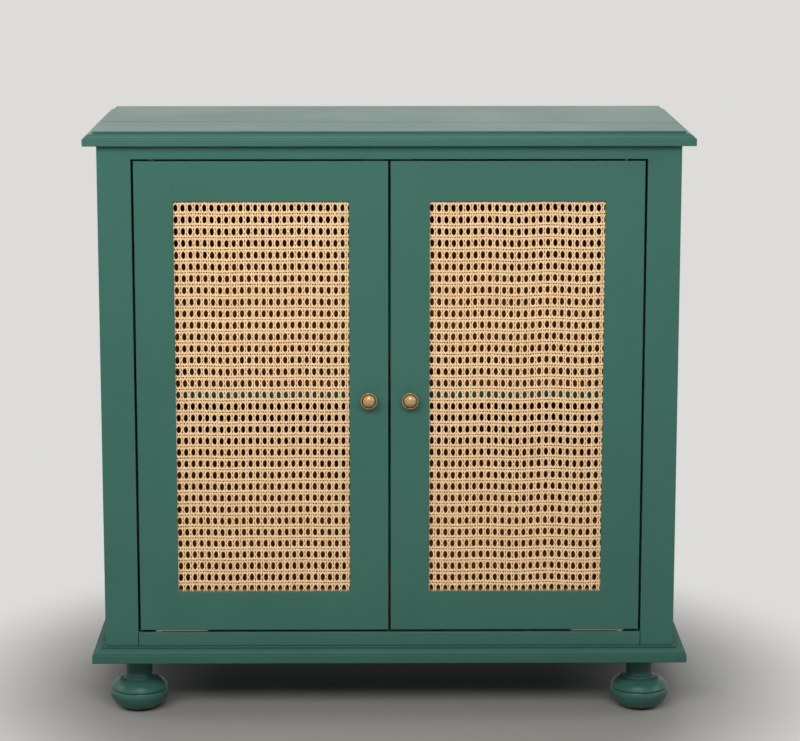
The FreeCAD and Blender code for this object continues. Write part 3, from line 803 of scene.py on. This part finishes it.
def smoothWave(count, length, seed, size):
    # a few slow waves with seeded phases, for strands that aren't quite straight
    chance = np.random.default_rng(seed)
    waves = []
    for _ in range(count):
        turns = chance.uniform(0.6, 2.6) * 2 * math.pi / length
        waves.append((turns, chance.uniform(0, 2 * math.pi), chance.normal()))
    total = math.sqrt(sum(high ** 2 for _, _, high in waves))
    return lambda at: size * sum(high * np.sin(turns * at + phase) for turns, phase, high in waves) / total


def overAndUnder(distance, reach):
    # +1 and -1 at the two strands of a pair, flat in between pairs
    u = distance / reach
    return u * np.exp((1 - u * u) / 2)


def stripMesh(name, strands, material):
    # each strand is its points, its widths and the direction of its width, and becomes a closed flat oval strip
    thickness = caneWeave["thickness"] / 2
    # across the strand in widths, and through it in half thicknesses
    section = np.array([(-0.5, 0.0), (-0.3, -0.85), (0.3, -0.85), (0.5, 0.0), (0.3, 0.85), (-0.3, 0.85)])
    sides = len(section)
    allPoints, allFaces, allCoords = [], [], []
    start = 0
    for number, (points, width, across) in enumerate(strands):
        count = len(points)
        ring = points[:, None, :] + across[None, None, :] * (section[None, :, 0:1] * width[:, None, None])
        ring[:, :, 1] += section[None, :, 1] * thickness
        allPoints.append(ring.reshape(-1, 3))
        rings = start + np.arange(count - 1)[:, None] * sides
        first = rings + np.arange(sides)
        second = rings + (np.arange(sides) + 1) % sides
        faces = np.stack([first, second, second + sides, first + sides], axis=2).reshape(-1, 4)
        startCap = start + np.array([(3, 2, 1, 0), (5, 4, 3, 0)])
        endCap = start + (count - 1) * sides + np.array([(0, 1, 2, 3), (0, 3, 4, 5)])
        faces = np.concatenate([faces, startCap, endCap])
        if np.dot(np.cross(across, (0, 1, 0)), points[-1] - points[0]) < 0:
            faces = faces[:, ::-1]  # so that every face looks outward
        allFaces.append(faces)
        travelled = np.concatenate([[0], np.cumsum(np.linalg.norm(np.diff(points, axis=0), axis=1))])
        u = np.repeat(travelled, sides).reshape(count, sides)
        v = number + 0.5 + section[None, :, 0] * 0.9 + np.zeros((count, 1))
        coords = np.stack([u, v], axis=2).reshape(-1, 2)
        allCoords.append(coords[faces.reshape(-1) - start])
        start += count * sides
    points = np.concatenate(allPoints)
    faces = np.concatenate(allFaces)
    mesh = bpy.data.meshes.new(name)
    mesh.vertices.add(len(points))
    mesh.vertices.foreach_set("co", points.astype(np.float32).ravel())
    mesh.loops.add(len(faces) * 4)
    mesh.loops.foreach_set("vertex_index", faces.astype(np.int32).ravel())
    mesh.polygons.add(len(faces))
    mesh.polygons.foreach_set("loop_start", np.arange(0, len(faces) * 4, 4, dtype=np.int32))
    mesh.polygons.foreach_set("use_smooth", np.ones(len(faces), dtype=bool))
    mesh.update(calc_edges=True)
    layer = mesh.uv_layers.new(name="strand")
    layer.data.foreach_set("uv", np.concatenate(allCoords).astype(np.float32).ravel())
    return putIn(name, mesh, material)


def weaveCane(side):
    low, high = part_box(side + "_door_cane_panel")
    middle = (low.y + high.y) / 2
    rebate = caneWeave["rebate"]
    openLow = Vector((low.x + rebate, 0, low.z + rebate))
    openHigh = Vector((high.x - rebate, 0, high.z - rebate))
    pitchX = (openHigh.x - openLow.x) / caneWeave["holesAcross"]
    pitchZ = (openHigh.z - openLow.z) / caneWeave["holesHigh"]
    holeX = openLow.x + caneWeave["firstHole"]
    holeZ = openHigh.z - caneWeave["firstRow"]
    chance = np.random.default_rng(caneWeave["seed"] + (side == "right"))
    drift = caneWeave["wander"]
    swayX = [smoothWave(4, 0.30, int(chance.integers(1e6)), drift * 0.6) for _ in range(2)]
    swayZ = [smoothWave(5, 0.16, int(chance.integers(1e6)), drift) for _ in range(2)]

    def placed(x, z, height, jitter):
        moved = np.stack([x, np.zeros_like(x), z], axis=1)
        moved[:, 0] += swayX[0](z) + 0.5 * swayX[1](x) + jitter * 0.5
        moved[:, 2] += swayZ[0](x) + 0.5 * swayZ[1](z) * 0.4
        edges = [moved[:, 0] - low.x, high.x - moved[:, 0], moved[:, 2] - low.z, high.z - moved[:, 2]]
        flat = caneWeave["pressedLift"]
        moved[:, 1] = middle - height * np.interp(np.minimum.reduce(edges), caneWeave["pressed"], (flat, 1))
        return moved

    def kept(x, z):
        margin = caneWeave["margin"]
        insideX = (x > low.x + margin) & (x < high.x - margin)
        return insideX & (z > low.z + margin) & (z < high.z - margin)

    def bendsOver(kind, centres, pitch):
        # where a strand bends as it crosses the pairs at these centres, and how far from the nearest of them
        steps = [bend * caneWeave[kind]["apart"] for bend in caneWeave[kind]["bends"]] + [pitch / 2]
        spots = np.sort(np.concatenate([centres + step for step in steps]))
        near = spots[:, None] - centres[None, :]
        return spots, near[np.arange(len(spots)), np.abs(near).argmin(axis=1)]

    def widths(kind, along):
        # each strand has its own width, and a pair's strands swell a little on their way
        look = caneWeave[kind]
        width = np.full(len(along), look["width"] * chance.uniform(*look["vary"]))
        if "swell" in look:
            width *= 1 + look["swell"] * np.sin(along * look["swellTurns"] + chance.uniform(0, 6))
        return width

    strands = {"Uprights": [], "Levels": [], "SlantsUp": [], "SlantsDown": []}
    # the pairs run between the holes, and two more stand beyond each edge before they are cut
    columns = np.arange(-2, int(caneWeave["holesAcross"]) + 3) + 0.5
    rows = np.arange(-2, int(caneWeave["holesHigh"]) + 3) + 0.5
    columnX = holeX + columns * pitchX
    rowZ = holeZ - rows * pitchZ
    uprightApart = caneWeave["upright"]["apart"]
    levelApart = caneWeave["level"]["apart"]
    sideways = np.array([1.0, 0, 0])
    upward = np.array([0, 0, 1.0])
    stray, fewest = caneWeave["stray"], caneWeave["fewestBends"]
    z, away = bendsOver("level", rowZ, pitchZ)
    for x in columnX:
        for pair in (-1, 1):
            height = -pair * caneWeave["lift"] * overAndUnder(away, levelApart)
            here = np.full(len(z), x + pair * uprightApart)
            use = kept(here, z)
            if use.sum() >= fewest:
                jitter = chance.normal(0, stray)
                width = widths("upright", z[use])
                strands["Uprights"].append((placed(here[use], z[use], height[use], jitter), width, sideways))
    x, away = bendsOver("upright", columnX, pitchX)
    for z in rowZ:
        for pair in (-1, 1):
            height = pair * caneWeave["lift"] * overAndUnder(away, uprightApart)
            here = np.full(len(x), z + pair * levelApart + chance.normal(0, stray))
            use = kept(x, here)
            if use.sum() >= fewest:
                width = widths("level", x[use])
                strands["Levels"].append((placed(x[use], here[use], height[use], 0.0), width, upward))
    # the slanting strands cross in the middle of each pair of uprights and of each pair of levels
    diagonal = math.hypot(pitchX, pitchZ)
    count = len(columns) + len(rows) + 6
    bends = caneWeave["slant"]["bends"]
    step = np.arange(-bends, (len(rows) + 1) * bends) / bends
    z = holeZ - step * pitchZ
    for name, way in (("SlantsUp", 1), ("SlantsDown", -1)):
        height = way * caneWeave["slantLift"] * np.cos(2 * math.pi * step)
        square = np.array([pitchZ / diagonal, 0, -way * pitchX / diagonal])
        for number in range(-count, count):
            x = holeX + (number + 0.5) * pitchX - way * step * pitchX
            use = kept(x, z)
            if use.sum() >= fewest:
                jitter = chance.normal(0, caneWeave["slantStray"])
                width = widths("slant", x[use])
                strands[name].append((placed(x[use], z[use], height[use], jitter), width, square))
    for kind, made in strands.items():
        piece = stripMesh(side + "DoorCane" + kind, made, cane)
        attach(piece, side + "_door")
        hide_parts(side + "_door_cane_panel")
        print(side, "cane", kind, len(made), "strands,", len(piece.data.polygons), "faces")


for side in ("left", "right"):
    weaveCane(side)

# Floor, light and camera

studio = {
    "floorColour": (0.345, 0.336, 0.323, 1),
    "floorSize": 40.0,
    "floorCells": 8,
    "floorRoughness": 0.8,
    "floorShine": 0.1,
    "floorFade": (0.42, 0.81),  # from the middle, where the floor passes into the background
    "background": (0.72, 0.715, 0.70, 1),
    "ambient": (0.92, 0.96, 1.0, 1),
    "ambientStrength": 0.12,
}
softboxes = [
    # name, place, aim, width and height, watts, colour, seen in
    ("keyLight", (-0.30, -2.00, 1.54), (0.0, 0.0, 0.50), (2.6, 0.7), 47.5, (1.0, 0.985, 0.96), "colours"),
    ("highLight", (-0.05, -1.7, 2.9), (0.0, -0.1, 0.45), (1.2, 0.55), 44.0, (1.0, 0.985, 0.95), "reflections"),
    ("rightLight", (2.9, -0.6, 2.0), (0.0, 0.0, 0.45), (1.6, 1.4), 19.0, (0.97, 0.985, 1.0), "both"),
    ("leftLight", (-2.9, 0.1, 2.0), (0.0, 0.0, 0.45), (1.6, 1.4), 17.0, (1.0, 0.99, 0.98), "both"),
    ("backLight", (0.3, 2.2, 2.6), (0.0, 0.1, 0.6), (1.8, 1.4), 36.0, (0.98, 0.99, 1.0), "colours"),
    ("sheenLight", (0.0, 3.0, 1.9), (0.0, 0.0, 0.7), (6.0, 1.6), 16.0, (1.0, 0.985, 0.955), "reflections"),
]
camera = {
    "place": (-0.0239, -4.0975, 1.3076),
    "down": 10.262,
    "turn": 0.4226,
    "lens": 120.45,
    "sensor": 36.0,
    "shift": (0.00896, -0.05),
    "farthest": 100.0,
}


def backgroundRays(tree):
    # the rays that meet the plain background: from the camera, in gloss and through glass
    ray = tree.nodes.new("ShaderNodeLightPath")
    mirrored = mathNode(tree, "MAXIMUM", ray.outputs["Is Glossy Ray"], ray.outputs["Is Transmission Ray"])
    return mathNode(tree, "MAXIMUM", ray.outputs["Is Camera Ray"], mirrored)


def makeFloor():
    half = studio["floorSize"] / 2
    wide = studio["floorCells"] + 1
    line = np.linspace(-half, half, wide)
    points = [(x, y, 0.0) for y in line for x in line]
    corners = [row * wide + column for row in range(wide - 1) for column in range(wide - 1)]
    faces = [(corner, corner + 1, corner + 1 + wide, corner + wide) for corner in corners]
    mesh = bpy.data.meshes.new("studioFloor")
    mesh.from_pydata(points, [], faces)
    made, tree, shader = newMaterial("paleFloor")
    shader.inputs["Base Color"].default_value = studio["floorColour"]
    shader.inputs["Roughness"].default_value = studio["floorRoughness"]
    shader.inputs["Specular IOR Level"].default_value = studio["floorShine"]
    far = addNode(tree, "ShaderNodeVectorMath", {0: placeOf(tree)}, operation="LENGTH").outputs["Value"]
    gone = times(tree, mapRange(tree, far, *studio["floorFade"], curve="SMOOTHSTEP"), backgroundRays(tree))
    glow = addNode(tree, "ShaderNodeEmission", {"Color": studio["background"], "Strength": 1.0})
    mixed = addNode(tree, "ShaderNodeMixShader", {0: gone, 1: shader.outputs[0], 2: glow.outputs[0]})
    # from below the floor is clear, so that the underside can be looked at
    below = addNode(tree, "ShaderNodeNewGeometry").outputs["Backfacing"]
    clear = addNode(tree, "ShaderNodeBsdfTransparent")
    twoSided = addNode(tree, "ShaderNodeMixShader", {0: below, 1: mixed.outputs[0], 2: clear.outputs[0]})
    tree.links.new(twoSided.outputs[0], tree.nodes["Material Output"].inputs["Surface"])
    floor = putIn("studioFloor", mesh, made)


def makeWorld():
    world = bpy.data.worlds.new("studioWorld")
    bpy.context.scene.world = world
    world.use_nodes = True
    tree = world.node_tree
    tree.nodes.clear()
    ambient = {"Color": studio["ambient"], "Strength": studio["ambientStrength"]}
    around = addNode(tree, "ShaderNodeBackground", ambient)
    behind = addNode(tree, "ShaderNodeBackground", {"Color": studio["background"], "Strength": 1.0})
    both = {0: backgroundRays(tree), 1: around.outputs[0], 2: behind.outputs[0]}
    mixed = addNode(tree, "ShaderNodeMixShader", both)
    out = tree.nodes.new("ShaderNodeOutputWorld")
    tree.links.new(mixed.outputs[0], out.inputs["Surface"])


def makeSoftbox(name, place, aim, size, watts, colour, seenIn):
    data = bpy.data.lights.new(name, "AREA")
    data.shape = "RECTANGLE"
    data.size, data.size_y = size
    data.energy = watts
    data.color = colour
    lamp = bpy.data.objects.new(name, data)
    lamp.location = place
    lamp.rotation_euler = (Vector(aim) - Vector(place)).to_track_quat("-Z", "Y").to_euler()
    lamp.visible_diffuse = seenIn != "reflections"
    lamp.visible_glossy = seenIn != "colours"
    bpy.context.scene.collection.objects.link(lamp)


def makeCamera():
    data = bpy.data.cameras.new("mainCamera")
    data.lens = camera["lens"]
    data.sensor_width = camera["sensor"]
    data.shift_x, data.shift_y = camera["shift"]
    data.clip_end = camera["farthest"]
    seen = bpy.data.objects.new("mainCamera", data)
    seen.location = camera["place"]
    seen.rotation_euler = (math.radians(90 - camera["down"]), 0, -math.radians(camera["turn"]))
    bpy.context.scene.collection.objects.link(seen)
    bpy.context.scene.camera = seen


makeFloor()
makeWorld()
for box in softboxes:
    makeSoftbox(*box)
makeCamera()
bpy.context.scene.view_settings.view_transform = "Standard"
print("studio ready")
